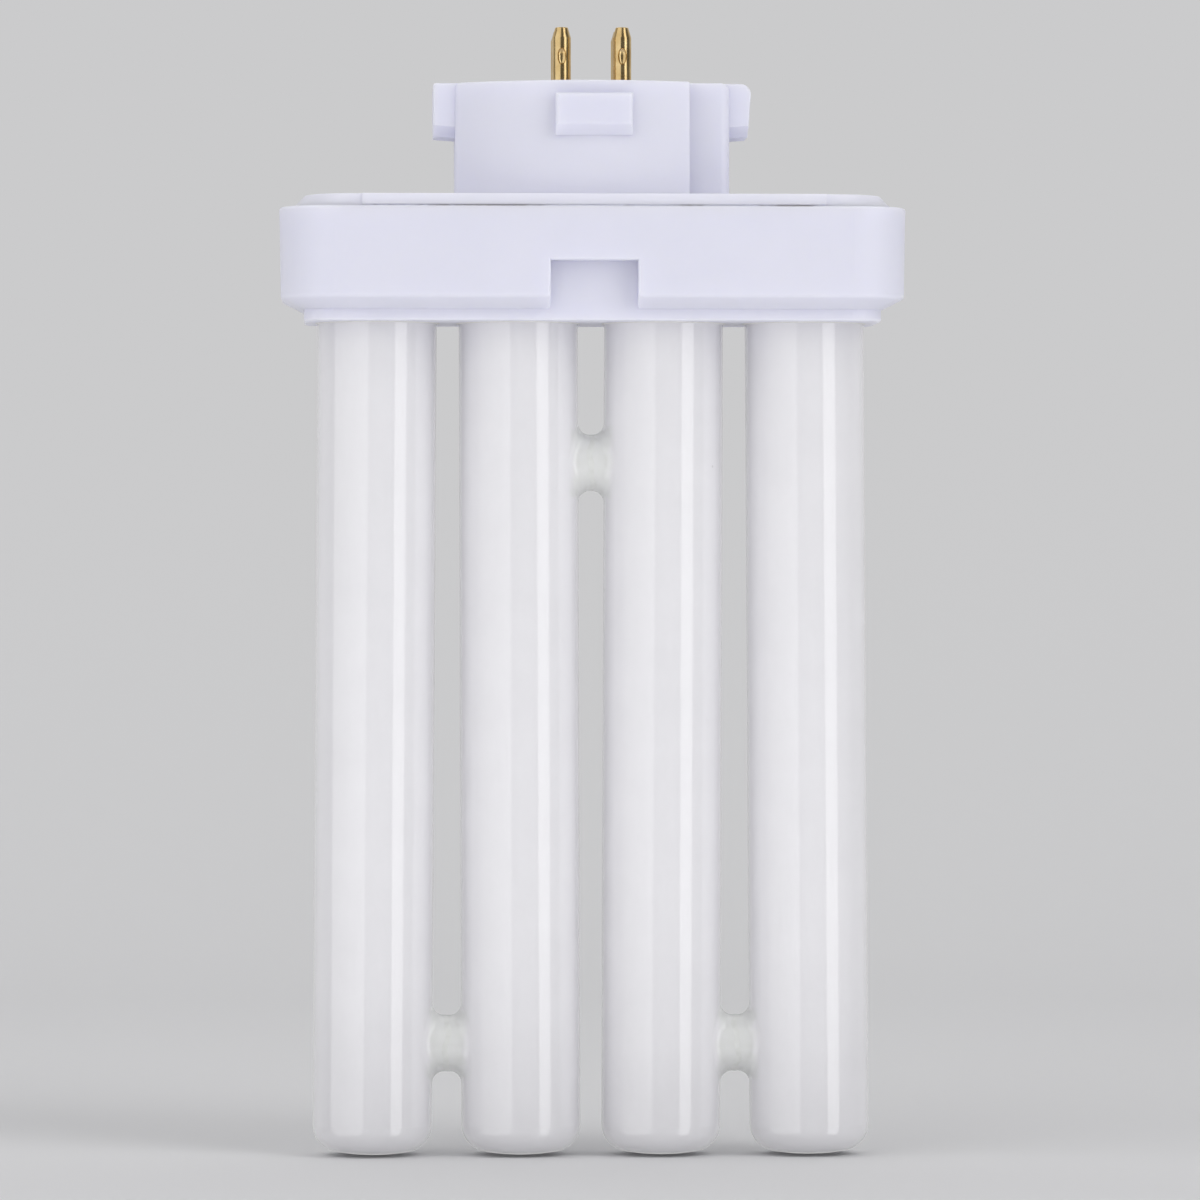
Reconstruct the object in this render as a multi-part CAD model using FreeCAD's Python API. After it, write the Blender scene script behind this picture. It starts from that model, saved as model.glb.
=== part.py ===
import FreeCAD
import Part
import math
import os

# Four-pin compact fluorescent lamp with four long tubes in one flat row.
# Frame: millimetres, +Z along the plug towards the pin tips, X along the row of tubes,
# -Y is the front. The origin is the centre of the four pins, on the plug's end face.
# The glass is one sealed vessel of four tubes joined by three short bridges. Its top ends are
# cemented in the sockets of the tube holder, and the plug cap snaps onto the holder.

# Glass vessel
TUBE_DIA = 15.7
INNER_GAP = 3.5           # between the two inner tubes at their upper ends
OUTER_GAP = 2.75          # between an inner and an outer tube at their upper ends
INNER_LEAN = 0.2          # degrees, the inner tubes lean together towards their tips
OUTER_LEAN = 0.35         # degrees, the outer tubes lean outwards towards their tips
TUBE_REACH = 109.2        # from the holder's lower face to the tip of the tubes
TUBE_SEAT = 9.0           # length of tube inside the holder
END_CROWN_RADIUS = 28.0
END_KNUCKLE_RADIUS = 3.6
BRIDGE_DIA = 7.4
BRIDGE_FLARE = 1.5        # radius where a bridge meets its tubes
UPPER_BRIDGE_DROP = 18.3  # from the holder's lower face to the upper bridge's axis
LOWER_BRIDGE_RISE = 14.6  # from the tips of the tubes to the lower bridges' axis
PINCH_THICKNESS = 2.4
PINCH_WIDTH = 6.4
PINCH_HEIGHT = 3.0
PINCH_EDGE = 0.9
TIP_OFF_DIA = 3.6
TIP_OFF_HEIGHT = 3.2

# Tube holder, the lower moulding
RIM_MARGIN_X = 1.8        # rim beyond the outer tubes, along the row
RIM_MARGIN_Y = 2.95       # rim beyond the tubes, front and back
RIM_HEIGHT = 1.5
RIM_CORNER = 4.0
BEVEL_RUN = 3.0
BEVEL_DROP = 1.5
FLANGE_HEIGHT = 11.8
FLANGE_DRAFT = 0.2        # how much wider each side is at the top than at the bevel
HOLDER_WALL = 1.8
HOLDER_FLOOR = 2.0
HOLDER_EDGE = 0.4
BEVEL_EDGE = 0.6
RIM_EDGE = 0.25
CATCH_HEIGHT = 3.0        # inner lip that the cap's hooks snap under
CATCH_REACH = 0.8
SOCKET_WALL = 1.8
CEMENT_GAP = 0.35
CEMENT_BEAD = 0.12
CEMENT_OVERLAP = 0.2      # cement drawn this far into the glass before the glass is cut from it
NOTCH_WIDTH = 11.4
NOTCH_HEIGHT = 4.75       # from the bevel's top edge up to the notch's roof
NOTCH_EDGE = 0.3

# Plug cap, the upper moulding
LID_THICKNESS = 1.55
LID_LEDGE = 1.9           # how far the lid's ends stand inside the flange's ends
LID_SETBACK = 0.6         # how far the lid stands behind the flange's front
LID_BEVEL = 1.5           # how far the lid's ends lean in from foot to top
LID_DRAFT = 0.12          # the same for its front and back
LID_EDGE = 0.2
PANEL_LENGTH = 60.2       # straight part of the lid that reaches out over the flange's wall
PANEL_SETBACK = 0.35
SEAM_CHAMFER = 0.2
LIP_THICKNESS = 1.1
LIP_DEPTH = 2.8
LIP_CLEARANCE = 0.12
HOOK_X = 18.85            # the hooks' middles, left and right of the centre
HOOK_WIDTH = 6.0
HOOK_THICKNESS = 1.2
HOOK_TIP = 1.5            # height of the hook's barb
HOOK_BARB = 0.55
HOOK_CLEARANCE = 0.15
POST_WIDTH = 35.9
POST_DEPTH = 23.0
POST_HEIGHT = 14.9
POST_FACE_RADIUS = 29.0
POST_WALL = 1.6
POST_ROOF = 2.0
POST_END_ROUND = 0.9
POST_STEP_ROUND = 0.35
POST_TOP_ROUND = 0.25
KEY_STEP_X = 12.6         # where the narrower key end of the post starts
KEY_DEPTH = 12.2
KEY_ROUND = 1.2
LUG_WIDTH = 10.0
LUG_REACH = 2.85
LUG_HEIGHT = 7.2
LUG_BEVEL = 1.4
LUG_RISE = 0.3            # the lug's underside climbs this much towards its outer end
KEY_LUG_ROUND = 1.4
KEY_LUG_TAPER = 0.4
PLAIN_LUG_ROUND = 0.35
TAB_REACH = 1.5
TAB_TOP = 1.75            # from the post's end face down to the middle tabs
TAB_EDGE = 0.5
BOSS_DIA = 4.9
BOSS_HEIGHT = 3.0
RIB_THICKNESS = 1.0
RIB_HEIGHT = 5.0

# Contact pins
PIN_SPACING_X = 7.92
PIN_SPACING_Y = 6.35
PIN_DIA = 2.44
PIN_SHANK_DIA = 3.0       # the thicker part pressed into the boss
PIN_BORE = 1.5
PIN_LENGTH = 7.45         # outside the post
PIN_TIP_DIA = 1.65
PIN_TAPER = 1.35
PIN_TIP_ROUND = 0.15
PIN_CROWN = 0.9           # solid metal at the tip
PIN_HEAD_DIA = 3.8
PIN_HEAD_HEIGHT = 0.6
CRIMP_HEIGHT = 3.6        # crimp's middle above the post
CRIMP_LENGTH = 2.2
CRIMP_MARGIN = 0.05       # from the crimp up to the line where the pin's nose begins
CRIMP_WIDTH = 1.2

# Lead wires and their sleeves
WIRE_DIA = 0.6
WIRE_BEND = 0.9
WIRE_SPACING = 3.2        # of the two leads of one electrode
WIRE_RUN_GAP = 0.45       # from the sleeve to the lid above it
WIRE_KNEE_X = 6.5         # where the leads turn up into the post
WIRE_KNEE_RISE = 4.3
WIRE_KNEE_BEND = 2.0
SLEEVE_DIA = 1.5
SLEEVE_START = 3.0        # bare wire left at the glass
SLEEVE_END_GAP = 0.4

# Levels worked out from the sizes above
LID_TOP_Z = -POST_HEIGHT
FLANGE_TOP_Z = LID_TOP_Z - LID_THICKNESS
BEVEL_TOP_Z = FLANGE_TOP_Z - FLANGE_HEIGHT
RIM_TOP_Z = BEVEL_TOP_Z - BEVEL_DROP
RIM_BOTTOM_Z = RIM_TOP_Z - RIM_HEIGHT
TUBE_TOP_Z = RIM_BOTTOM_Z + TUBE_SEAT
TUBE_TIP_Z = RIM_BOTTOM_Z - TUBE_REACH
CATCH_Z = FLANGE_TOP_Z - CATCH_HEIGHT
FLOOR_TOP_Z = RIM_BOTTOM_Z + HOLDER_FLOOR
BOSS_BOTTOM_Z = -POST_ROOF - BOSS_HEIGHT
TUBE_RADIUS = TUBE_DIA / 2
SOCKET_RADIUS = TUBE_RADIUS + CEMENT_GAP

# Plan sizes worked out from the sizes above
INNER_TUBE_X = (TUBE_DIA + INNER_GAP) / 2
OUTER_TUBE_X = INNER_TUBE_X + TUBE_DIA + OUTER_GAP
TUBE_X = (-OUTER_TUBE_X, -INNER_TUBE_X, INNER_TUBE_X, OUTER_TUBE_X)
TUBE_LEAN = (-OUTER_LEAN, INNER_LEAN, -INNER_LEAN, OUTER_LEAN)
RIM_SIZE = (2 * OUTER_TUBE_X + TUBE_DIA + 2 * RIM_MARGIN_X, TUBE_DIA + 2 * RIM_MARGIN_Y)
BEVEL_SIZE = tuple(s + 2 * BEVEL_RUN for s in RIM_SIZE)
FLANGE_SIZE = tuple(s + 2 * FLANGE_DRAFT for s in BEVEL_SIZE)
FLANGE_CORNER = RIM_CORNER + BEVEL_RUN + FLANGE_DRAFT
MOUTH_INSET = HOLDER_WALL + CATCH_REACH
CRIMP_DEPTH = (PIN_BORE - WIRE_DIA) / 2

Vector = FreeCAD.Vector


def rounded_rectangle(size, corner, z):
    """A closed wire: a rectangle centred on the Z axis with rounded corners."""
    x, y = size[0] / 2, size[1] / 2
    edges = []
    turns = [(x, -y, 0), (x, y, 90), (-x, y, 180), (-x, -y, 270)]
    arcs = []
    for px, py, turn in turns:
        centre = Vector(px - math.copysign(corner, px), py - math.copysign(corner, py), z)
        circle = Part.Circle(centre, Vector(0, 0, 1), corner)
        start = math.radians(turn - 90)
        arcs.append(Part.Arc(circle, start, start + math.pi / 2).toShape())
    for i, arc in enumerate(arcs):
        following = arcs[(i + 1) % len(arcs)]
        edges.append(arc)
        edges.append(Part.makeLine(arc.Vertexes[-1].Point, following.Vertexes[0].Point))
    return Part.Wire(edges)


def inset_rectangle(size, corner, inset, z):
    """The rounded rectangle a given distance inside another."""
    smaller = tuple(s - 2 * inset for s in size)
    return rounded_rectangle(smaller, max(corner - inset, 0.8), z)


def prism(wire, height):
    """The solid between a flat wire and the same wire moved up by height."""
    return Part.Face(wire).extrude(Vector(0, 0, height))


def block(low, high):
    """An upright box between two opposite corners."""
    size = [high[i] - low[i] for i in range(3)]
    return Part.makeBox(size[0], size[1], size[2], Vector(*low))


def rod(x, y, low_z, high_z, radius):
    """A plain upright cylinder."""
    return Part.makeCylinder(radius, high_z - low_z, Vector(x, y, low_z))


def mirrored_y(shape):
    """The same shape on the other side of the XZ plane."""
    return shape.mirror(Vector(0, 0, 0), Vector(0, 1, 0))


def edges_where(shape, test):
    """The edges whose every vertex passes a test of its point."""
    return [e for e in shape.Edges if all(test(v.Point) for v in e.Vertexes)]


def near(a, b, tolerance=0.01):
    """Whether two lengths agree closely."""
    return abs(a - b) < tolerance


def lamp_end(sign):
    """Half profile of a tube's closed end in the XZ plane: knuckle and crown arcs.

    The crown touches z = 0 on the axis and the wall starts at the returned height."""
    knuckle, crown = END_KNUCKLE_RADIUS, END_CROWN_RADIUS
    knuckle_x = TUBE_RADIUS - knuckle
    lift = crown - math.sqrt((crown - knuckle) ** 2 - knuckle_x ** 2)
    tilt = math.atan2(knuckle_x, crown - lift)
    meet = (crown * math.sin(tilt), crown - crown * math.cos(tilt))
    half = (crown * math.sin(tilt / 2), crown - crown * math.cos(tilt / 2))
    turn = (math.pi / 2 + tilt) / 2
    bend = (knuckle_x + knuckle * math.sin(turn), lift - knuckle * math.cos(turn))
    points = [(0, 0), half, meet, bend, (TUBE_RADIUS, lift)]
    return [Vector(px, 0, sign * pz) for px, pz in points], lift


def glass_tube(i):
    """One straight, slightly leaning tube with a domed end below and the same end above."""
    low, lift = lamp_end(1)
    high, _ = lamp_end(-1)
    low = [p + Vector(0, 0, TUBE_TIP_Z) for p in low]
    high = [p + Vector(0, 0, TUBE_TOP_Z) for p in high]
    profile = Part.Wire([
        Part.Arc(low[0], low[1], low[2]).toShape(),
        Part.Arc(low[2], low[3], low[4]).toShape(),
        Part.makeLine(low[4], high[4]),
        Part.Arc(high[4], high[3], high[2]).toShape(),
        Part.Arc(high[2], high[1], high[0]).toShape(),
        Part.makeLine(high[0], low[0]),
    ])
    tube = Part.Face(profile).revolve(Vector(0, 0, 0), Vector(0, 0, 1), 360)
    # The turned surface starts and ends at the back, clear of the bridges.
    tube.rotate(Vector(0, 0, 0), Vector(0, 0, 1), 90)
    tube.rotate(Vector(0, 0, TUBE_TOP_Z), Vector(0, 1, 0), -TUBE_LEAN[i])
    tube.translate(Vector(TUBE_X[i], 0, 0))
    return tube


def axis_x(i, z):
    """Where a tube's axis stands at a level."""
    return TUBE_X[i] + (TUBE_TOP_Z - z) * math.tan(math.radians(TUBE_LEAN[i]))


def bridged(tubes, left, z):
    """Two neighbouring tubes joined by a short cross tube that flares into both."""
    x0, x1 = axis_x(left, z), axis_x(left + 1, z)
    cross = Part.makeCylinder(BRIDGE_DIA / 2, x1 - x0, Vector(x0, 0, z), Vector(1, 0, 0))
    joined = tubes.fuse(cross)
    middle = (x0 + x1) / 2
    reach = BRIDGE_DIA / 2 + 0.5

    def on_bridge(p):
        return abs(p.x - middle) < TUBE_RADIUS and abs(p.z - z) < reach

    seam = [e for e in joined.Edges if e.Length > BRIDGE_DIA / 2
            and on_bridge(e.CenterOfMass) and all(on_bridge(v.Point) for v in e.Vertexes)
            and abs(e.CenterOfMass.x - middle) > 0.2]
    flare = min(BRIDGE_FLARE, 0.48 * (x1 - x0 - TUBE_DIA))
    return joined.makeFillet(flare, seam)


def pinch_seal(x):
    """The flat press at a cathode end, where the two leads leave the glass."""
    low = (x - PINCH_THICKNESS / 2, -PINCH_WIDTH / 2, TUBE_TOP_Z - END_KNUCKLE_RADIUS)
    high = (x + PINCH_THICKNESS / 2, PINCH_WIDTH / 2, TUBE_TOP_Z + PINCH_HEIGHT)
    press = block(low, high)
    upright = [e for e in press.Edges if near(e.Length, high[2] - low[2])]
    return press.makeFillet(PINCH_EDGE, upright)


def exhaust_tip(x):
    """The sealed-off stub of the exhaust tube."""
    radius = TIP_OFF_DIA / 2
    top = TUBE_TOP_Z + TIP_OFF_HEIGHT
    stub = rod(x, 0, TUBE_TOP_Z - END_KNUCKLE_RADIUS, top - radius, radius)
    return stub.fuse(Part.makeSphere(radius, Vector(x, 0, top - radius)))


def discharge_tube():
    """The sealed glass vessel, closed all round, so it is one solid."""
    tubes = [glass_tube(i) for i in range(4)]
    lower_z = TUBE_TIP_Z + LOWER_BRIDGE_RISE
    upper_z = RIM_BOTTOM_Z - UPPER_BRIDGE_DROP
    left = bridged(tubes[0].fuse(tubes[1]), 0, lower_z)
    right = bridged(tubes[2].fuse(tubes[3]), 2, lower_z)
    vessel = bridged(left.fuse(right), 1, upper_z)
    for x in (TUBE_X[0], TUBE_X[3]):
        vessel = vessel.fuse(pinch_seal(x))
    for x in (TUBE_X[1], TUBE_X[2]):
        vessel = vessel.fuse(exhaust_tip(x))
    return vessel


def notch_block(grow):
    """The notch in the middle of the front wall, or that space grown by a wall."""
    front = -FLANGE_SIZE[1] / 2 - 1
    back = -RIM_SIZE[1] / 2 + grow
    roof = BEVEL_TOP_Z + NOTCH_HEIGHT + grow
    half = NOTCH_WIDTH / 2 + grow
    return block((-half, front, RIM_TOP_Z - RIM_HEIGHT - 1), (half, back, roof))


def notch_edges(body):
    """The notches' edges on the holder's front and back walls."""
    roof = BEVEL_TOP_Z + NOTCH_HEIGHT
    low = BEVEL_TOP_Z + BEVEL_EDGE / 2

    def on_wall(p):
        across = near(abs(p.x), NOTCH_WIDTH / 2) and low < p.z < roof + 0.01
        return across and abs(p.y) > BEVEL_SIZE[1] / 2 - 0.01

    return edges_where(body, on_wall)


def holder_outside():
    """The flange with its drafted wall, the bevel under it and the rim."""
    flange_top = rounded_rectangle(FLANGE_SIZE, FLANGE_CORNER, FLANGE_TOP_Z)
    bevel_top = rounded_rectangle(BEVEL_SIZE, RIM_CORNER + BEVEL_RUN, BEVEL_TOP_Z)
    rim_top = rounded_rectangle(RIM_SIZE, RIM_CORNER, RIM_TOP_Z)
    rim_bottom = rounded_rectangle(RIM_SIZE, RIM_CORNER, RIM_BOTTOM_Z)
    wall = Part.makeLoft([bevel_top, flange_top], True, True)
    top_edge = edges_where(wall, lambda p: near(p.z, FLANGE_TOP_Z))
    wall = wall.makeFillet(HOLDER_EDGE, top_edge)
    bevel = Part.makeLoft([rim_top, bevel_top], True, True)
    body = wall.fuse([bevel, prism(rim_bottom, RIM_HEIGHT)])
    body = body.makeFillet(BEVEL_EDGE, edges_where(body, lambda p: near(p.z, BEVEL_TOP_Z)))
    return body.makeFillet(RIM_EDGE, edges_where(body, lambda p: near(p.z, RIM_BOTTOM_Z)))


def holder_cavity():
    """The inside of the holder: the mouth, the chamber under the catch and its sloped foot."""
    corner = RIM_CORNER + BEVEL_RUN
    mouth = inset_rectangle(BEVEL_SIZE, corner, MOUTH_INSET, CATCH_Z)
    chamber_low = inset_rectangle(BEVEL_SIZE, corner, HOLDER_WALL, BEVEL_TOP_Z + HOLDER_WALL / 2)
    foot_size = tuple(s - 2 * HOLDER_WALL for s in RIM_SIZE)
    foot = rounded_rectangle(foot_size, max(RIM_CORNER - HOLDER_WALL, 0.8), FLOOR_TOP_Z)
    upper = prism(mouth, CATCH_HEIGHT + 1)
    chamber = prism(chamber_low, CATCH_Z - BEVEL_TOP_Z - HOLDER_WALL / 2)
    slope = Part.makeLoft([foot, chamber_low], True, True)
    return upper.fuse([chamber, slope])


def tube_holder():
    """The lower moulding: flange, inner catch, floor, tube sockets and the two notches."""
    body = holder_outside()
    cavity = holder_cavity()
    for notch in (notch_block(HOLDER_WALL), mirrored_y(notch_block(HOLDER_WALL))):
        cavity = cavity.cut(notch)
    body = body.cut(cavity)
    for notch in (notch_block(0), mirrored_y(notch_block(0))):
        body = body.cut(notch)
    body = body.makeFillet(NOTCH_EDGE, notch_edges(body))
    sockets = [rod(x, 0, RIM_BOTTOM_Z, TUBE_TOP_Z, SOCKET_RADIUS + SOCKET_WALL) for x in TUBE_X]
    inside = prism(inset_rectangle(RIM_SIZE, RIM_CORNER, 0.5, RIM_BOTTOM_Z), TUBE_SEAT)
    body = body.fuse([socket.common(inside) for socket in sockets])
    for x in TUBE_X:
        body = body.cut(rod(x, 0, RIM_BOTTOM_Z - 1, TUBE_TOP_Z + 1, SOCKET_RADIUS))
    return body.removeSplitter()


def tube_cement(i):
    """The ring of cement round one tube, with a rounded bead at the socket's mouth."""
    inner, outer = TUBE_RADIUS - CEMENT_OVERLAP, SOCKET_RADIUS
    bead_bottom = RIM_BOTTOM_Z - CEMENT_BEAD
    top = TUBE_TOP_Z - END_KNUCKLE_RADIUS - 0.5
    a = Vector(inner, 0, top)
    b = Vector(outer, 0, top)
    c = Vector(outer, 0, RIM_BOTTOM_Z)
    bulge = Vector((inner + 2 * outer) / 3, 0, RIM_BOTTOM_Z - 0.75 * CEMENT_BEAD)
    d = Vector(inner, 0, bead_bottom)
    profile = Part.Wire([
        Part.makeLine(a, b),
        Part.makeLine(b, c),
        Part.Arc(c, bulge, d).toShape(),
        Part.makeLine(d, a),
    ])
    ring = Part.Face(profile).revolve(Vector(0, 0, 0), Vector(0, 0, 1), 360)
    ring.translate(Vector(TUBE_X[i], 0, 0))
    return ring.cut(glass_tube(i))


def post_bow(x):
    """Half depth of the post where its bowed face stands at x."""
    return POST_DEPTH / 2 - POST_FACE_RADIUS + math.sqrt(POST_FACE_RADIUS ** 2 - x ** 2)


def post_outline(z):
    """Plan of the post: two bowed faces, a flat left end and a narrower key end on the right."""
    end, step, key = POST_WIDTH / 2, KEY_STEP_X, KEY_DEPTH / 2
    front = [
        Vector(-end, -post_bow(end), z),
        Vector(0, -POST_DEPTH / 2, z),
        Vector(step, -post_bow(step), z),
        Vector(step, -key, z),
        Vector(end, -key, z),
    ]
    back = [Vector(p.x, -p.y, p.z) for p in front]
    return Part.Wire([
        Part.Arc(front[0], front[1], front[2]).toShape(),
        Part.makeLine(front[2], front[3]),
        Part.makeLine(front[3], front[4]),
        Part.makeLine(front[4], back[4]),
        Part.makeLine(back[4], back[3]),
        Part.makeLine(back[3], back[2]),
        Part.Arc(back[2], back[1], back[0]).toShape(),
        Part.makeLine(back[0], front[0]),
    ])


def post_solid():
    """The post's outside as one block, with its upright corners rounded."""
    low_z = FLANGE_TOP_Z
    post = prism(post_outline(low_z), -low_z)
    corners = [
        (-POST_WIDTH / 2, post_bow(POST_WIDTH / 2), POST_END_ROUND),
        (POST_WIDTH / 2, KEY_DEPTH / 2, KEY_ROUND),
        (KEY_STEP_X, post_bow(KEY_STEP_X), POST_STEP_ROUND),
    ]
    for x, y, radius in corners:
        upright = edges_where(post, lambda p: near(p.x, x) and near(abs(p.y), y))
        post = post.makeFillet(radius, upright)
    return post


def end_lug(side, corner_round, taper):
    """The lug on one end of the post: a block with a rounded top corner and bevelled underside."""
    root = side * (POST_WIDTH / 2 - POST_WALL)
    tip = side * (POST_WIDTH / 2 + LUG_REACH)
    half = LUG_WIDTH / 2
    mid = math.sqrt(0.5)
    points = {
        "root_top": Vector(root, -half, 0),
        "top": Vector(tip - side * corner_round, -half, 0),
        "round": Vector(tip - side * corner_round * (1 - mid), -half, -corner_round * (1 - mid)),
        "side": Vector(tip, -half, -corner_round),
        "foot": Vector(tip - side * taper, -half, LUG_RISE - LUG_HEIGHT),
        "root_foot": Vector(root, -half, -LUG_HEIGHT),
    }
    profile = Part.Wire([
        Part.makeLine(points["root_top"], points["top"]),
        Part.Arc(points["top"], points["round"], points["side"]).toShape(),
        Part.makeLine(points["side"], points["foot"]),
        Part.makeLine(points["foot"], points["root_foot"]),
        Part.makeLine(points["root_foot"], points["root_top"]),
    ])
    lug = Part.Face(profile).extrude(Vector(0, LUG_WIDTH, 0))
    under = edges_where(lug, lambda p: p.z < LUG_RISE - LUG_HEIGHT + 0.01)
    under = [e for e in under if e.Length > 0.6 * LUG_REACH and not near(e.Length, LUG_WIDTH)]
    return lug.makeChamfer(LUG_BEVEL, under)


def middle_tab():
    """The tab in the middle of the front face, bevelled below and rounded at its edges."""
    face = -POST_DEPTH / 2 - TAB_REACH
    half = LUG_WIDTH / 2
    tab = block((-half, face, -LUG_HEIGHT), (half, -POST_DEPTH / 2 + POST_WALL, -TAB_TOP))
    under = edges_where(tab, lambda p: near(p.y, face) and near(p.z, -LUG_HEIGHT))
    tab = tab.makeChamfer(LUG_BEVEL, under)
    return tab.makeFillet(TAB_EDGE, edges_where(tab, lambda p: near(p.y, face)))


def lid_plate():
    """The lid: a plate with sloping ends, and the straight panel over the flange's wall."""
    foot_size = (FLANGE_SIZE[0] - 2 * LID_LEDGE, FLANGE_SIZE[1] - 2 * LID_SETBACK)
    top_size = (foot_size[0] - 2 * LID_BEVEL, foot_size[1] - 2 * LID_DRAFT)
    corner = FLANGE_CORNER - LID_SETBACK
    foot = rounded_rectangle(foot_size, corner, FLANGE_TOP_Z)
    top = rounded_rectangle(top_size, corner - LID_DRAFT, LID_TOP_Z)
    plate = Part.makeLoft([foot, top], True, True)
    plate = plate.makeFillet(LID_EDGE, edges_where(plate, lambda p: near(p.z, LID_TOP_Z)))
    half_depth = FLANGE_SIZE[1] / 2 - PANEL_SETBACK
    half_length = PANEL_LENGTH / 2
    panel = block((-half_length, -half_depth, FLANGE_TOP_Z), (half_length, half_depth, LID_TOP_Z))
    seam = edges_where(panel, lambda p: near(p.z, FLANGE_TOP_Z))
    panel = panel.makeChamfer(SEAM_CHAMFER, seam)
    return plate.fuse(panel)


def locating_lip():
    """The wall under the lid that drops into the holder's mouth."""
    corner = RIM_CORNER + BEVEL_RUN
    inset = MOUTH_INSET + LIP_CLEARANCE
    low_z = FLANGE_TOP_Z - LIP_DEPTH
    outside = prism(inset_rectangle(BEVEL_SIZE, corner, inset, low_z), LIP_DEPTH + 0.5)
    inner = inset_rectangle(BEVEL_SIZE, corner, inset + LIP_THICKNESS, low_z)
    return outside.cut(prism(inner, LIP_DEPTH + 0.5))


def snap_hook(x):
    """A hook on the lip's front side; its barb snaps under the holder's catch."""
    face = -BEVEL_SIZE[1] / 2 + MOUTH_INSET + LIP_CLEARANCE
    barb_top = CATCH_Z - HOOK_CLEARANCE
    bottom = barb_top - HOOK_TIP
    root = FLANGE_TOP_Z + 0.5
    outline = [
        Vector(0, face, root),
        Vector(0, face, barb_top),
        Vector(0, face - HOOK_BARB, barb_top),
        Vector(0, face, bottom),
        Vector(0, face + HOOK_THICKNESS, bottom),
        Vector(0, face + HOOK_THICKNESS, root),
    ]
    hook = Part.Face(Part.makePolygon(outline + outline[:1])).extrude(Vector(HOOK_WIDTH, 0, 0))
    hook.translate(Vector(x - HOOK_WIDTH / 2, 0, 0))
    return hook


def pin_places():
    """Name and place of each of the four contacts."""
    for row, y in (("front", -PIN_SPACING_Y / 2), ("rear", PIN_SPACING_Y / 2)):
        for side, x in (("left", -PIN_SPACING_X / 2), ("right", PIN_SPACING_X / 2)):
            yield f"{row}_{side}", x, y


def plug_cap():
    """The upper moulding: lid, lip, hooks and the hollow keyed post with its pin bosses."""
    post = post_solid()
    lugs = [
        end_lug(-1, PLAIN_LUG_ROUND, 0),
        end_lug(1, KEY_LUG_ROUND, KEY_LUG_TAPER),
        middle_tab(),
        mirrored_y(middle_tab()),
    ]
    post = post.fuse(lugs).removeSplitter()
    post = post.makeFillet(POST_TOP_ROUND, edges_where(post, lambda p: near(p.z, 0)))
    hooks = [snap_hook(side * HOOK_X) for side in (-1, 1)]
    hooks += [mirrored_y(hook) for hook in hooks]
    body = lid_plate().fuse([post, locating_lip()] + hooks)
    room = Part.Face(post_outline(FLANGE_TOP_Z)).makeOffset2D(-POST_WALL)
    room = room.extrude(Vector(0, 0, -FLANGE_TOP_Z - POST_ROOF))
    body = body.cut(room)
    ribs = [
        block((-RIB_THICKNESS / 2, -POST_DEPTH, -POST_ROOF - RIB_HEIGHT),
              (RIB_THICKNESS / 2, POST_DEPTH, -POST_ROOF)),
        block((-POST_WIDTH, -RIB_THICKNESS / 2, -POST_ROOF - RIB_HEIGHT),
              (POST_WIDTH, RIB_THICKNESS / 2, -POST_ROOF)),
    ]
    bosses = [rod(x, y, BOSS_BOTTOM_Z, -POST_ROOF, BOSS_DIA / 2) for _, x, y in pin_places()]
    body = body.fuse([rib.common(room) for rib in ribs] + bosses)
    for _, x, y in pin_places():
        body = body.cut(rod(x, y, BOSS_BOTTOM_Z - 1, 1, PIN_SHANK_DIA / 2))
        body = body.cut(rod(x, y, BOSS_BOTTOM_Z - PIN_HEAD_HEIGHT, BOSS_BOTTOM_Z, PIN_HEAD_DIA / 2))
    return body.removeSplitter()


def ellipsoid(centre, half_x, half_y, half_z):
    """A ball stretched to the given half sizes."""
    stretch = FreeCAD.Matrix()
    stretch.scale(half_x, half_y, half_z)
    ball = Part.makeSphere(1).transformGeometry(stretch)
    ball.translate(centre)
    return ball


def contact_pin(x, y):
    """A hollow pin with a headed inner end, a tapered tip and a crimp on its outer side."""
    outer, bore, tip = PIN_DIA / 2, PIN_BORE / 2, PIN_TIP_DIA / 2
    head, shank = PIN_HEAD_DIA / 2, PIN_SHANK_DIA / 2
    bottom = BOSS_BOTTOM_Z - PIN_HEAD_HEIGHT
    crimp_top = CRIMP_HEIGHT + CRIMP_LENGTH / 2 + CRIMP_MARGIN
    profile = [
        (bore, bottom), (head, bottom), (head, BOSS_BOTTOM_Z), (shank, BOSS_BOTTOM_Z),
        (shank, 0), (outer, 0), (outer, crimp_top), (outer, PIN_LENGTH - PIN_TAPER),
        (tip, PIN_LENGTH), (0, PIN_LENGTH), (0, PIN_LENGTH - PIN_CROWN),
        (bore, PIN_LENGTH - PIN_CROWN - PIN_TAPER / 2),
    ]
    points = [Vector(px, 0, pz) for px, pz in profile]
    shape = Part.Face(Part.makePolygon(points + points[:1]))
    pin = shape.revolve(Vector(0, 0, 0), Vector(0, 0, 1), 360)
    pin = pin.makeFillet(PIN_TIP_ROUND, edges_where(pin, lambda p: near(p.z, PIN_LENGTH)))
    side = math.copysign(1, y)
    middle = Vector(0, side * outer, CRIMP_HEIGHT)
    wall = outer - bore
    bump = ellipsoid(middle, CRIMP_WIDTH / 2 + wall, CRIMP_DEPTH + wall, CRIMP_LENGTH / 2 + wall)
    bump = bump.common(rod(0, 0, 0, PIN_LENGTH - PIN_TAPER, (outer + bore) / 2))
    dent = ellipsoid(middle, CRIMP_WIDTH / 2, CRIMP_DEPTH, CRIMP_LENGTH / 2)
    pin = pin.fuse(bump).cut(dent)
    pin.translate(Vector(x, y, 0))
    return pin


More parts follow.
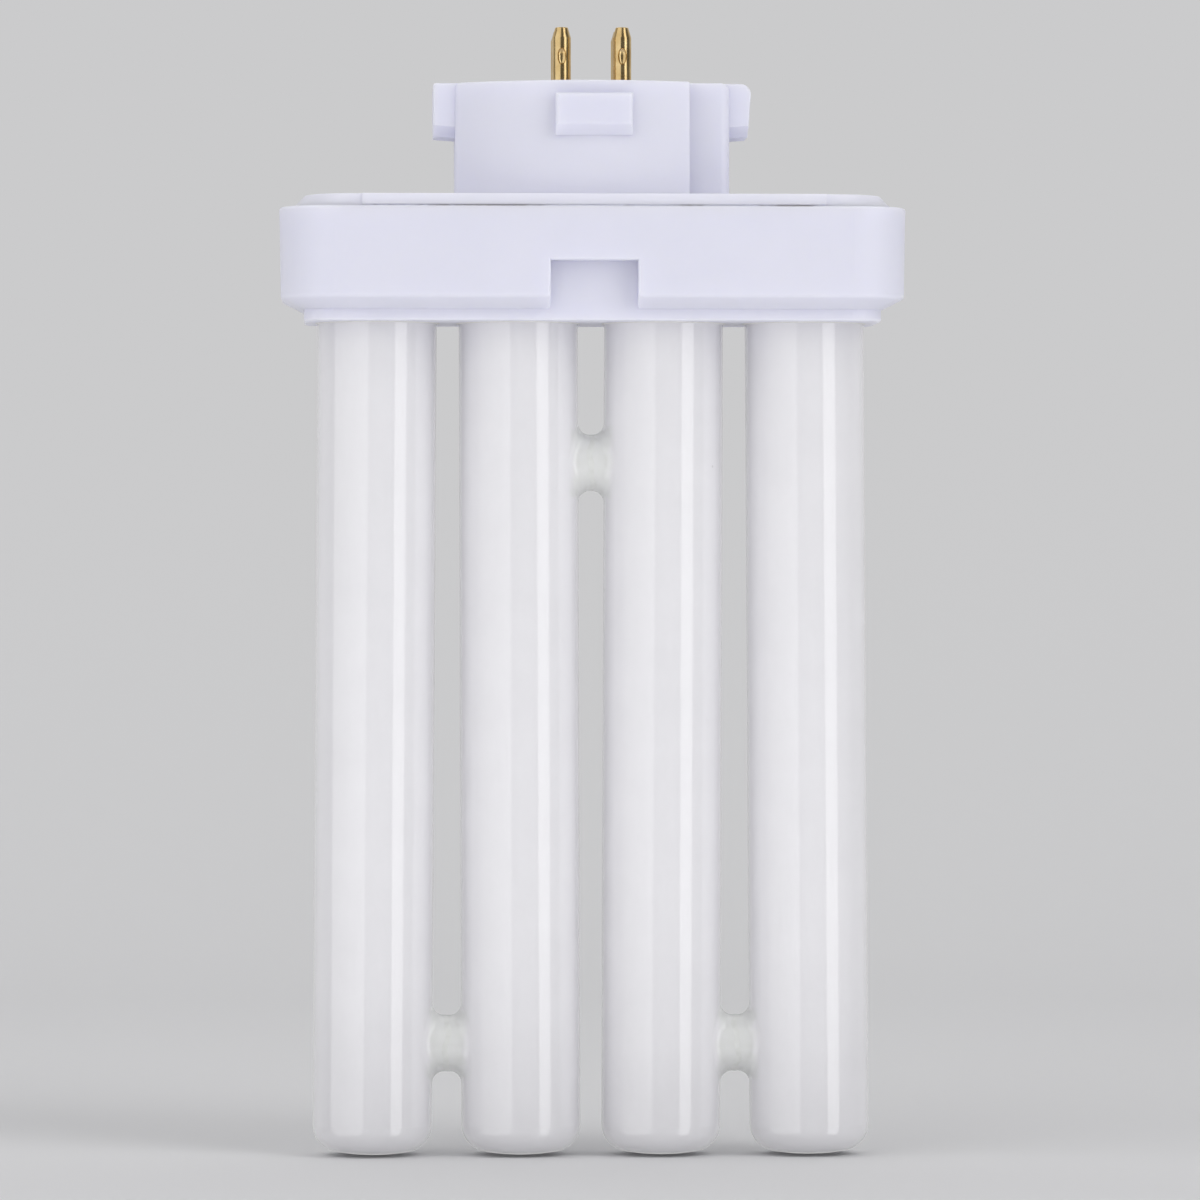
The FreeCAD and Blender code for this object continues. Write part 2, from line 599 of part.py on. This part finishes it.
def rounded_path(points, bends):
    """A wire of straight runs through the points, with a tangent arc at each inner point."""
    edges = []
    start = points[0]
    for i in range(1, len(points) - 1):
        corner = points[i]
        back = (points[i - 1] - corner).normalize()
        ahead = (points[i + 1] - corner).normalize()
        half_turn = (math.pi - back.getAngle(ahead)) / 2
        cut = bends[i - 1] * math.tan(half_turn)
        begin, end = corner + back * cut, corner + ahead * cut
        bisector = (back + ahead).normalize()
        gap = bends[i - 1] / math.cos(half_turn) - bends[i - 1]
        edges.append(Part.makeLine(start, begin))
        edges.append(Part.Arc(begin, corner + bisector * gap, end).toShape())
        start = end
    edges.append(Part.makeLine(start, points[-1]))
    return Part.Wire(edges)


def swept(points, bends, radius):
    """A round rod bent along the rounded path."""
    path = rounded_path(points, bends)
    direction = points[1] - points[0]
    ring = Part.Wire(Part.makeCircle(radius, points[0], direction))
    return path.makePipeShell([ring], True, False)


def wire_route(x, y):
    """Corner points of one lead: out of the pinch seal, under the lid and up into its pin."""
    side, row = math.copysign(1, x), math.copysign(1, y)
    run_z = FLANGE_TOP_Z - WIRE_RUN_GAP - SLEEVE_DIA / 2
    glass = Vector(side * TUBE_X[3], row * WIRE_SPACING / 2, TUBE_TOP_Z + PINCH_HEIGHT)
    return [
        glass,
        Vector(glass.x, glass.y, run_z),
        Vector(side * WIRE_KNEE_X, y, run_z),
        Vector(x, y, run_z + WIRE_KNEE_RISE),
        Vector(x, y, CRIMP_HEIGHT),
    ]


def lead_wire(x, y):
    """One bare lead from the glass to the crimp in its pin."""
    return swept(wire_route(x, y), [WIRE_BEND, WIRE_KNEE_BEND, WIRE_KNEE_BEND], WIRE_DIA / 2)


def wire_sleeve(x, y):
    """The insulating sleeve on the lead, over its run and its knee."""
    route = wire_route(x, y)
    run = (route[2] - route[1]).normalize()
    stop = Vector(x, y, BOSS_BOTTOM_Z - PIN_HEAD_HEIGHT - SLEEVE_END_GAP)
    points = [route[1] + run * SLEEVE_START, route[2], route[3], stop]
    bends = [WIRE_KNEE_BEND, WIRE_KNEE_BEND]
    return swept(points, bends, SLEEVE_DIA / 2).cut(swept(points, bends, WIRE_DIA / 2))


def main():
    nodes = {
        "discharge_tube": discharge_tube(),
        "tube_holder": tube_holder(),
        "plug_cap": plug_cap(),
    }
    for i, name in enumerate(("outer_left", "inner_left", "inner_right", "outer_right")):
        nodes[f"tube_cement_{name}"] = tube_cement(i)
    for name, x, y in pin_places():
        nodes[f"contact_pin_{name}"] = contact_pin(x, y)
        nodes[f"lead_wire_{name}"] = lead_wire(x, y)
        nodes[f"wire_sleeve_{name}"] = wire_sleeve(x, y)
    os.makedirs("parts", exist_ok=True)
    for name, shape in nodes.items():
        print(name, len(shape.Solids), "solids", shape.isValid(), round(shape.Volume, 1), "mm3")
        shape.Solids[0].exportStep(f"parts/{name}.step")


main()
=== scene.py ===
import math

import bmesh
import bpy
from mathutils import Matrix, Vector


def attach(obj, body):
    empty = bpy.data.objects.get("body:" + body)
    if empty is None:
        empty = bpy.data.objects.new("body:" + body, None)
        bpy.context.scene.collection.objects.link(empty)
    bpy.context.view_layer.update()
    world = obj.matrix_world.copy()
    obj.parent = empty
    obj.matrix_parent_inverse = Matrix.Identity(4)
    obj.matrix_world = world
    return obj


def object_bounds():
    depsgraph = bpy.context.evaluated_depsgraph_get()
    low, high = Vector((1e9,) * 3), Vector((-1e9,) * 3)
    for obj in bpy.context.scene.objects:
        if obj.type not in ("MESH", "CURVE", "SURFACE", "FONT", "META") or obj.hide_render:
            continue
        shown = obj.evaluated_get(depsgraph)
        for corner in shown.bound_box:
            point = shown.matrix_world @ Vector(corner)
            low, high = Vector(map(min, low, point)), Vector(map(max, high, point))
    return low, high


# The look of a four-pin compact fluorescent lamp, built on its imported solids.
# Metres, +Z towards the pin tips, X along the row of tubes, the camera looks along +Y.

EYE_HEIGHT = -0.0676      # the camera is level with the lamp's middle
CAMERA_DISTANCE = 0.9
CAMERA_TURN = 2.2         # degrees the camera stands to the left of straight on
LOOK_AT_X = 0.0012
FRAME_WIDTH = 0.1579      # real width that the picture takes in at the lamp
SENSOR = 36.0

FLOOR_HALF_WIDTH = 4.0
FLOOR_FRONT = -3.0
COVE_START = 0.35
COVE_RADIUS = 0.6
COVE_STEPS = 32
FLOOR_DROP = 0.0001       # room between the tips and the floor
BACKDROP_TOP = 3.0
FLOOR_COLOUR = (0.70, 0.70, 0.71)

WORLD_COLOUR = (1.0, 1.0, 1.0)
WORLD_STRENGTH = 0.42
MIRRORED_FRONT = 0.12     # strength of the room that gloss mirrors in front of the lamp
MIRRORED_BEHIND = 0.6     # and behind it
MIRRORED_FLOOR = 0.62     # and below it
FAR_TONE = (0.597, 0.597, 0.604)  # of the distant floor and backdrop, from every side
TONE_START = 0.35         # the paper takes that tone from here
TONE_END = 0.8

# Pairs of shades that a noise texture mixes, the first where the noise is low.
PLASTIC_SHADES = ((0.725, 0.728, 0.838), (0.745, 0.745, 0.855))
GLASS_SHADES = ((0.755, 0.748, 0.775), (0.78, 0.773, 0.80))
MELT_SHADES = ((0.67, 0.68, 0.66), (0.73, 0.74, 0.725))
BRASS_SHADES = ((0.80, 0.60, 0.30), (0.64, 0.44, 0.19))
WIRE_SHADES = ((0.60, 0.58, 0.54), (0.50, 0.47, 0.42))
CEMENT_SHADES = ((0.72, 0.71, 0.70), (0.80, 0.79, 0.79))
SLEEVE_SHADES = ((0.70, 0.69, 0.63), (0.82, 0.81, 0.76))
BRIDGE_SHADE = (0.725, 0.735, 0.722)
PLASTIC_DIRT = (0.36, 0.34, 0.36)
GLASS_DIRT = (0.36, 0.35, 0.35)
# the colour of the painted shade in the seam under the lid's panel
SEAM_PAINTED_SHADE = (0.38, 0.36, 0.38)

# Where the painted shade of the seam between the lid and the flange lies.
LID_SEAM_Z = -0.01645     # where the lid meets the flange
LID_SEAM_HALF_LENGTH = 0.0301
LID_SEAM_INSIDE = 0.0131  # the seam lies farther than this from the lamp's middle plane
LID_SEAM_CORE = 0.00006   # the painted shade is full to here above and below the seam
LID_SEAM_EDGE = 0.00016   # and ends here

BRIDGE_RADIUS = 0.0037
UPPER_BRIDGE_Z = -0.04955
LOWER_BRIDGE_Z = -0.12585
OUTER_BRIDGE_X = 0.0190
BRIDGE_REACH = 0.0045     # round a bridge's middle, where its glass is looked for
WAIST_REACH = 0.0009      # the same along the bridge
GREY_HALF_X = 0.0030      # the glass round a bridge is greyer, as far as this
GREY_HALF_Z = 0.0050
GREY_WOBBLE = 0.0016      # how uneven the edge of that is

MELT_HALF_WIDTH = 0.0005  # of the melted ridge round a bridge's waist
MELT_HEIGHT = 0.00006
MELT_SINK = 0.00004       # how far the ridge's middle lies inside the glass
MELT_STEPS = 96
MELT_SIDES = 16
SLOW_SWAY = 0.00022       # the ridge sways three times round the bridge
QUICK_SWAY = 0.00012      # and seven times

# Name, degrees to the right of the camera, distance, width and height, height of the middle,
# radiance, and whether the glass mirrors it.
SOFTBOXES = (
    ("softbox_left", -51.0, 1.1, (1.65, 2.6), 0.2, 0.86, True),
    ("softbox_right", 48.0, 1.1, (0.50, 2.6), 0.2, 1.55, True),
    ("fill_right", 52.0, 1.1, (1.0, 1.9), 0.35, 0.57, False),
    ("fill_behind", 180.0, 0.34, (1.2, 0.5), 0.62, 0.7, True),
)
FLOOR_FILL_SIZE = (0.6, 0.27)
FLOOR_FILL_Y = -0.165
FLOOR_FILL_LIFT = 0.003
FLOOR_FILL_RADIANCE = 0.55

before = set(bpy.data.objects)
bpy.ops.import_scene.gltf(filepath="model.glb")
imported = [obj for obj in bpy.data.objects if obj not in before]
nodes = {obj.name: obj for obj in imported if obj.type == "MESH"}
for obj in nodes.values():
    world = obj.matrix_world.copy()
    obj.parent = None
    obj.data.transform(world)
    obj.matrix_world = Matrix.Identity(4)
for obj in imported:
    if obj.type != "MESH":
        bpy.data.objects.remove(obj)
cad_low, cad_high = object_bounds()


def new_material(name):
    """A material and its empty node tree."""
    material = bpy.data.materials.new(name)
    material.use_nodes = True
    tree = material.node_tree
    tree.nodes.clear()
    return material, tree


def node(tree, kind, **inputs):
    """A new node, with the sockets that the keywords name set to their values."""
    made = tree.nodes.new(kind)
    for key, value in inputs.items():
        made.inputs[key.replace("_", " ")].default_value = value
    return made


def maths(tree, operation, first, second=None):
    """A Math node of two values, each a number or an output socket."""
    made = tree.nodes.new("ShaderNodeMath")
    made.operation = operation
    for i, value in enumerate((first, second)):
        if value is None:
            continue
        if isinstance(value, (int, float)):
            made.inputs[i].default_value = value
        else:
            tree.links.new(value, made.inputs[i])
    return made.outputs[0]


def noise(tree, place, scale, detail=2.0, roughness=0.5):
    """The grey value of a noise texture at a scale per metre."""
    made = node(tree, "ShaderNodeTexNoise", Scale=scale, Detail=detail, Roughness=roughness)
    tree.links.new(place, made.inputs["Vector"])
    return made.outputs["Fac"]


def map_range(tree, value, from_low, from_high, to_low, to_high, smooth=False):
    """A value carried from one range to another, clamped."""
    made = tree.nodes.new("ShaderNodeMapRange")
    made.interpolation_type = "SMOOTHSTEP" if smooth else "LINEAR"
    made.inputs["From Min"].default_value = from_low
    made.inputs["From Max"].default_value = from_high
    made.inputs["To Min"].default_value = to_low
    made.inputs["To Max"].default_value = to_high
    tree.links.new(value, made.inputs["Value"])
    return made.outputs["Result"]


def clouding(tree, place, scale, detail=2.0, roughness=0.5, low=0.0, high=1.0):
    """A noise texture with its middle greys spread from low to high."""
    return map_range(tree, noise(tree, place, scale, detail, roughness), 0.3, 0.7, low, high)


def mix_colour(tree, factor, first, second):
    """A mix of two colours, each a tuple or an output socket."""
    made = tree.nodes.new("ShaderNodeMix")
    made.data_type = "RGBA"
    tree.links.new(factor, made.inputs["Factor"])
    for socket, value in ((made.inputs[6], first), (made.inputs[7], second)):
        if isinstance(value, tuple):
            socket.default_value = (*value, 1.0)
        else:
            tree.links.new(value, socket)
    return made.outputs[2]


def bump(tree, height, distance, strength):
    """The normal of a bump of the given depth in metres."""
    made = node(tree, "ShaderNodeBump", Strength=strength, Distance=distance)
    tree.links.new(height, made.inputs["Height"])
    return made.outputs["Normal"]


def object_place(tree):
    """The shaded point in the row frame."""
    return tree.nodes.new("ShaderNodeTexCoord").outputs["Object"]


def specks(tree, place, scale, size, share):
    """1 in a few small round specks, 0 elsewhere."""
    cells = node(tree, "ShaderNodeTexVoronoi", Scale=scale, Randomness=1.0)
    tree.links.new(place, cells.inputs["Vector"])
    near = map_range(tree, cells.outputs["Distance"], size * 0.5, size, 1.0, 0.0, smooth=True)
    lucky = node(tree, "ShaderNodeSeparateColor")
    tree.links.new(cells.outputs["Color"], lucky.inputs[0])
    chosen = maths(tree, "LESS_THAN", lucky.outputs[0], share)
    return maths(tree, "MULTIPLY", near, chosen)


def principled(tree, **settings):
    """A Principled shader joined to the output, with plain numbers set on its own sockets."""
    shader = node(tree, "ShaderNodeBsdfPrincipled", **settings)
    output = tree.nodes.new("ShaderNodeOutputMaterial")
    tree.links.new(shader.outputs["BSDF"], output.inputs["Surface"])
    return shader


def seam_painted_shade(tree, place):
    """Broken painted shade in the seam between the lid's panel and the flange."""
    split = tree.nodes.new("ShaderNodeSeparateXYZ")
    tree.links.new(place, split.inputs[0])
    level = maths(tree, "ABSOLUTE", maths(tree, "SUBTRACT", split.outputs["Z"], LID_SEAM_Z))
    in_seam = map_range(tree, level, LID_SEAM_CORE, LID_SEAM_EDGE, 1.0, 0.0, smooth=True)
    across = maths(tree, "ABSOLUTE", split.outputs["X"])
    beside = maths(tree, "LESS_THAN", across, LID_SEAM_HALF_LENGTH)
    depth = maths(tree, "ABSOLUTE", split.outputs["Y"])
    outside = maths(tree, "GREATER_THAN", depth, LID_SEAM_INSIDE)
    patches = map_range(tree, noise(tree, place, 130.0, 3.0, 0.7), 0.47, 0.6, 0.0, 0.8)
    shown = maths(tree, "MULTIPLY", maths(tree, "MULTIPLY", beside, outside), patches)
    return maths(tree, "MULTIPLY", in_seam, shown)


def white_plastic():
    """Satin moulded plastic, a slightly lavender white that light enters a little way.

    It has faint clouding, fine grain, a few specks and painted shade in the seam under the lid."""
    material, tree = new_material("white_plastic")
    place = object_place(tree)
    shader = principled(tree, IOR=1.5, Subsurface_Weight=0.6, Subsurface_Scale=0.0022)
    shader.inputs["Subsurface Radius"].default_value = (1.0, 1.0, 1.1)
    colour = mix_colour(tree, clouding(tree, place, 90.0, 3.0), *PLASTIC_SHADES)
    dirt = specks(tree, place, 160.0, 0.045, 0.05)
    colour = mix_colour(tree, maths(tree, "MULTIPLY", dirt, 0.35), colour, PLASTIC_DIRT)
    # painted shade: the seam between the lid and the flange is darkened in broken patches
    colour = mix_colour(tree, seam_painted_shade(tree, place), colour, SEAM_PAINTED_SHADE)
    tree.links.new(colour, shader.inputs["Base Color"])
    rough = clouding(tree, place, 220.0, low=0.42, high=0.5)
    tree.links.new(rough, shader.inputs["Roughness"])
    grain = noise(tree, place, 5200.0, 2.0)
    tree.links.new(bump(tree, grain, 0.000012, 0.35), shader.inputs["Normal"])
    return material


def near_middle(tree, value, middle, wobble, core, edge):
    """1 close to a middle value, and 0 from an uneven edge outwards."""
    away = maths(tree, "ABSOLUTE", maths(tree, "SUBTRACT", value, middle))
    return map_range(tree, maths(tree, "ADD", away, wobble), core, edge, 1.0, 0.0, smooth=True)


def bridge_mask(tree, place, centres):
    """1 on the glass bridges, fading out with a slightly uneven edge."""
    split = tree.nodes.new("ShaderNodeSeparateXYZ")
    tree.links.new(place, split.inputs[0])
    uneven = maths(tree, "SUBTRACT", noise(tree, place, 420.0), 0.5)
    wobble = maths(tree, "MULTIPLY", uneven, GREY_WOBBLE)
    mask = None
    for x, z in centres:
        across = near_middle(tree, split.outputs["X"], x, wobble, 0.6 * GREY_HALF_X, GREY_HALF_X)
        along = near_middle(tree, split.outputs["Z"], z, wobble, 0.8 * GREY_HALF_Z, GREY_HALF_Z)
        here = maths(tree, "MULTIPLY", across, along)
        mask = here if mask is None else maths(tree, "MAXIMUM", mask, here)
    return mask


def coated_glass(centres):
    """Clear glass over white powder: dull white below, a sharp clear coat above.

    The coat mirrors more than one face of glass does, for the wall has two."""
    material, tree = new_material("coated_glass")
    place = object_place(tree)
    shader = principled(tree, IOR=1.5, Roughness=0.85, Coat_Weight=1.0, Coat_Roughness=0.02,
                        Coat_IOR=1.7)
    colour = mix_colour(tree, clouding(tree, place, 140.0, 4.0, 0.6), *GLASS_SHADES)
    mask = bridge_mask(tree, place, centres)
    grey = maths(tree, "MULTIPLY", mask, clouding(tree, place, 900.0, 3.0, low=0.75))
    colour = mix_colour(tree, grey, colour, BRIDGE_SHADE)
    dirt = specks(tree, place, 190.0, 0.05, 0.06)
    colour = mix_colour(tree, maths(tree, "MULTIPLY", dirt, 0.3), colour, GLASS_DIRT)
    tree.links.new(colour, shader.inputs["Base Color"])
    ripple = noise(tree, place, 240.0, 1.0)
    tree.links.new(bump(tree, ripple, 0.00004, 0.25), shader.inputs["Coat Normal"])
    return material


def pin_brass():
    """Polished brass with faint lengthwise drawing lines."""
    material, tree = new_material("pin_brass")
    place = object_place(tree)
    shader = principled(tree, Metallic=1.0)
    stretch = tree.nodes.new("ShaderNodeMapping")
    stretch.inputs["Scale"].default_value = (1.0, 1.0, 0.06)
    tree.links.new(place, stretch.inputs["Vector"])
    lines = noise(tree, stretch.outputs["Vector"], 5200.0, 3.0)
    tarnish = noise(tree, place, 700.0, 3.0)
    shade = map_range(tree, tarnish, 0.35, 0.75, 0.0, 1.0)
    colour = mix_colour(tree, shade, *BRASS_SHADES)
    tree.links.new(colour, shader.inputs["Base Color"])
    rough = map_range(tree, lines, 0.3, 0.7, 0.16, 0.26)
    tree.links.new(rough, shader.inputs["Roughness"])
    tree.links.new(bump(tree, lines, 0.000006, 0.5), shader.inputs["Normal"])
    return material


def dull_material(name, shades, scale, roughness, depth):
    """A rough material of two near colours with a grain: the cement, and the woven sleeves."""
    material, tree = new_material(name)
    place = object_place(tree)
    shader = principled(tree, Roughness=roughness)
    grain = noise(tree, place, scale, 4.0, 0.6)
    shade = map_range(tree, grain, 0.3, 0.7, 0.0, 1.0)
    tree.links.new(mix_colour(tree, shade, *shades), shader.inputs["Base Color"])
    tree.links.new(bump(tree, grain, depth, 0.8), shader.inputs["Normal"])
    return material


def lead_metal():
    """Bright drawn wire."""
    material, tree = new_material("lead_metal")
    place = object_place(tree)
    shader = principled(tree, Metallic=1.0)
    tone = noise(tree, place, 1500.0, 2.0)
    shade = map_range(tree, tone, 0.3, 0.7, 0.0, 1.0)
    colour = mix_colour(tree, shade, *WIRE_SHADES)
    tree.links.new(colour, shader.inputs["Base Color"])
    tree.links.new(map_range(tree, tone, 0.3, 0.7, 0.25, 0.4), shader.inputs["Roughness"])
    return material


def melted_glass():
    """The slightly greenish glass of a melted seam, with no powder behind it."""
    material, tree = new_material("melted_glass")
    place = object_place(tree)
    shader = principled(tree, IOR=1.5, Roughness=0.6, Coat_Weight=1.0, Coat_Roughness=0.05,
                        Coat_IOR=1.5)
    colour = mix_colour(tree, clouding(tree, place, 900.0, 3.0), *MELT_SHADES)
    tree.links.new(colour, shader.inputs["Base Color"])
    return material


def dress(obj, material):
    """Gives a piece one material."""
    obj.data.materials.clear()
    obj.data.materials.append(material)


def bridge_centres():
    """The middle of each bridge, from left to right, centred on the glass that lies there."""
    glass = nodes["discharge_tube"].data
    left = (-OUTER_BRIDGE_X, LOWER_BRIDGE_Z)
    middle = (0.0, UPPER_BRIDGE_Z)
    right = (OUTER_BRIDGE_X, LOWER_BRIDGE_Z)
    centres = []
    for x, z in (left, middle, right):
        near = [v.co.x for v in glass.vertices
                if abs(v.co.x - x) < WAIST_REACH and abs(v.co.z - z) < BRIDGE_REACH
                and abs(v.co.y) < BRIDGE_REACH]
        centre = sum(near, 0.0) / len(near) if near else x
        centres.append((centre, z))
    return centres


def fused_seam(name, x, z, phase):
    """A low wavy ridge round a bridge's waist, where the two blown stubs were melted together."""
    mesh = bpy.data.meshes.new(name)
    seam = bmesh.new()
    rings = []
    for i in range(MELT_STEPS):
        turn = 2 * math.pi * i / MELT_STEPS
        sway = SLOW_SWAY * math.sin(3 * turn + phase) + QUICK_SWAY * math.sin(7 * turn + 2 * phase)
        out = Vector((0, math.cos(turn), math.sin(turn)))
        centre = Vector((x + sway, 0, z)) + out * (BRIDGE_RADIUS - MELT_SINK)
        ring = []
        for k in range(MELT_SIDES):
            around = 2 * math.pi * k / MELT_SIDES
            across = Vector((1, 0, 0)) * math.cos(around) * MELT_HALF_WIDTH
            ring.append(seam.verts.new(centre + across + out * math.sin(around) * MELT_HEIGHT))
        rings.append(ring)
    for i, ring in enumerate(rings):
        following = rings[(i + 1) % MELT_STEPS]
        for k in range(MELT_SIDES):
            after = (k + 1) % MELT_SIDES
            seam.faces.new((ring[k], ring[after], following[after], following[k]))
    bmesh.ops.recalc_face_normals(seam, faces=seam.faces)
    seam.to_mesh(mesh)
    seam.free()
    for face in mesh.polygons:
        face.use_smooth = True
    piece = bpy.data.objects.new(name, mesh)
    bpy.context.scene.collection.objects.link(piece)
    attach(piece, "root")
    return piece


def one_tone(tree, shader, kind, share, surface):
    """Shows FAR_TONE to the camera alone, by a share, and the shader to all other rays."""
    tone = tree.nodes.new(kind)
    tone.inputs["Color"].default_value = (*FAR_TONE, 1.0)
    seen = tree.nodes.new("ShaderNodeLightPath").outputs["Is Camera Ray"]
    mix = tree.nodes.new("ShaderNodeMixShader")
    tree.links.new(maths(tree, "MULTIPLY", seen, share), mix.inputs[0])
    tree.links.new(shader.outputs[0], mix.inputs[1])
    tree.links.new(tone.outputs[0], mix.inputs[2])
    tree.links.new(mix.outputs[0], surface)


def backdrop_paper():
    """Pale paper that keeps the lamp's shadow and fades to one even tone far from it."""
    material, tree = new_material("backdrop_paper")
    shader = node(tree, "ShaderNodeBsdfPrincipled", Roughness=0.9)
    shader.inputs["Base Color"].default_value = (*FLOOR_COLOUR, 1.0)
    away = tree.nodes.new("ShaderNodeVectorMath")
    away.operation = "LENGTH"
    tree.links.new(object_place(tree), away.inputs[0])
    far = map_range(tree, away.outputs["Value"], TONE_START, TONE_END, 0.0, 1.0, smooth=True)
    output = tree.nodes.new("ShaderNodeOutputMaterial")
    one_tone(tree, shader, "ShaderNodeEmission", far, output.inputs["Surface"])
    return material


def backdrop():
    """A plain pale floor that curves up into a backdrop."""
    low = cad_low.z - FLOOR_DROP
    profile = [(FLOOR_FRONT, low), (COVE_START, low)]
    for i in range(1, COVE_STEPS + 1):
        turn = math.pi / 2 * i / COVE_STEPS
        y = COVE_START + COVE_RADIUS * math.sin(turn)
        profile.append((y, low + COVE_RADIUS * (1 - math.cos(turn))))
    profile.append((COVE_START + COVE_RADIUS, BACKDROP_TOP))
    points = []
    faces = []
    for y, z in profile:
        points.append((-FLOOR_HALF_WIDTH, y, z))
        points.append((FLOOR_HALF_WIDTH, y, z))
    for i in range(len(profile) - 1):
        faces.append((2 * i, 2 * i + 1, 2 * i + 3, 2 * i + 2))
    mesh = bpy.data.meshes.new("backdrop")
    mesh.from_pydata(points, [], faces)
    for face in mesh.polygons:
        face.use_smooth = True
    floor = bpy.data.objects.new("backdrop", mesh)
    bpy.context.scene.collection.objects.link(floor)
    dress(floor, backdrop_paper())
    floor.visible_glossy = False


def area_light(name, size, radiance, place, seen_in_glass):
    """A rectangular lamp of the given brightness, which the camera doesn't see."""
    light = bpy.data.lights.new(name, "AREA")
    light.shape = "RECTANGLE"
    light.size, light.size_y = size
    light.energy = radiance * math.pi * size[0] * size[1]
    lamp = bpy.data.objects.new(name, light)
    lamp.location = place
    lamp.visible_camera = False
    lamp.visible_glossy = seen_in_glass
    bpy.context.scene.collection.objects.link(lamp)
    return lamp


def softbox(name, angle, distance, size, centre_z, radiance, seen_in_glass):
    """A light that faces the lamp, at an angle from the camera's side, right positive."""
    turn = math.radians(angle - CAMERA_TURN)
    place = Vector((math.sin(turn) * distance, -math.cos(turn) * distance, centre_z))
    lamp = area_light(name, size, radiance, place, seen_in_glass)
    aim = Vector((0, 0, EYE_HEIGHT)) - place
    lamp.rotation_euler = aim.to_track_quat("-Z", "Y").to_euler()


def floor_fill():
    """A weak light lying on the floor in front of the lamp, for what faces down."""
    place = Vector((0, FLOOR_FILL_Y, cad_low.z + FLOOR_FILL_LIFT))
    lamp = area_light("floor_fill", FLOOR_FILL_SIZE, FLOOR_FILL_RADIANCE, place, False)
    lamp.rotation_euler = (math.pi, 0, 0)


def world_light():
    """Even pale light; gloss mirrors a dim room in front, a paler one behind and the floor."""
    world = bpy.data.worlds.new("studio")
    bpy.context.scene.world = world
    world.use_nodes = True
    tree = world.node_tree
    tree.nodes.clear()
    background = tree.nodes.new("ShaderNodeBackground")
    background.inputs["Color"].default_value = (*WORLD_COLOUR, 1.0)
    split = tree.nodes.new("ShaderNodeSeparateXYZ")
    tree.links.new(tree.nodes.new("ShaderNodeTexCoord").outputs["Generated"], split.inputs[0])
    behind = map_range(tree, split.outputs["Y"], 0.0, 0.6, MIRRORED_FRONT, MIRRORED_BEHIND, smooth=True)
    below = map_range(tree, split.outputs["Z"], -0.4, -0.05, MIRRORED_FLOOR, 0.0, smooth=True)
    change = maths(tree, "SUBTRACT", maths(tree, "MAXIMUM", behind, below), WORLD_STRENGTH)
    mirrored = tree.nodes.new("ShaderNodeLightPath").outputs["Is Glossy Ray"]
    strength = maths(tree, "ADD", maths(tree, "MULTIPLY", change, mirrored), WORLD_STRENGTH)
    tree.links.new(strength, background.inputs["Strength"])
    output = tree.nodes.new("ShaderNodeOutputWorld")
    one_tone(tree, background, "ShaderNodeBackground", 1.0, output.inputs["Surface"])


def camera():
    """The camera at the photograph's angle: level, a long way off, slightly to the left."""
    data = bpy.data.cameras.new("camera")
    data.sensor_width = SENSOR
    data.lens = SENSOR * CAMERA_DISTANCE / FRAME_WIDTH
    data.clip_start, data.clip_end = 0.01, 20.0
    made = bpy.data.objects.new("camera", data)
    turn = math.radians(CAMERA_TURN)
    target = Vector((LOOK_AT_X, 0, EYE_HEIGHT))
    place = target + Vector((-math.sin(turn), -math.cos(turn), 0)) * CAMERA_DISTANCE
    made.location = place
    made.rotation_euler = (target - place).to_track_quat("-Z", "Y").to_euler()
    bpy.context.scene.collection.objects.link(made)
    bpy.context.scene.camera = made


def dress_nodes(glass):
    """Materials for the carried-over solids, by their names."""
    plastic = white_plastic()
    brass = pin_brass()
    cement = dull_material("cement", CEMENT_SHADES, 1800.0, 0.9, 0.00006)
    sleeve = dull_material("sleeving", SLEEVE_SHADES, 2600.0, 0.8, 0.00005)
    metal = lead_metal()
    by_start = {
        "discharge_tube": glass,
        "tube_holder": plastic,
        "plug_cap": plastic,
        "tube_cement": cement,
        "contact_pin": brass,
        "lead_wire": metal,
        "wire_sleeve": sleeve,
    }
    for name, obj in nodes.items():
        for start, material in by_start.items():
            if name.startswith(start):
                dress(obj, material)


def main():
    centres = bridge_centres()
    glass = coated_glass(centres)
    melted = melted_glass()
    dress_nodes(glass)
    for i, (x, z) in enumerate(centres):
        seam = fused_seam(f"fused_seam_{i + 1}", x, z, 1.7 * i + 0.4)
        dress(seam, melted)
    backdrop()
    for settings in SOFTBOXES:
        softbox(*settings)
    floor_fill()
    world_light()
    camera()
    bpy.context.scene.view_settings.view_transform = "Standard"


main()
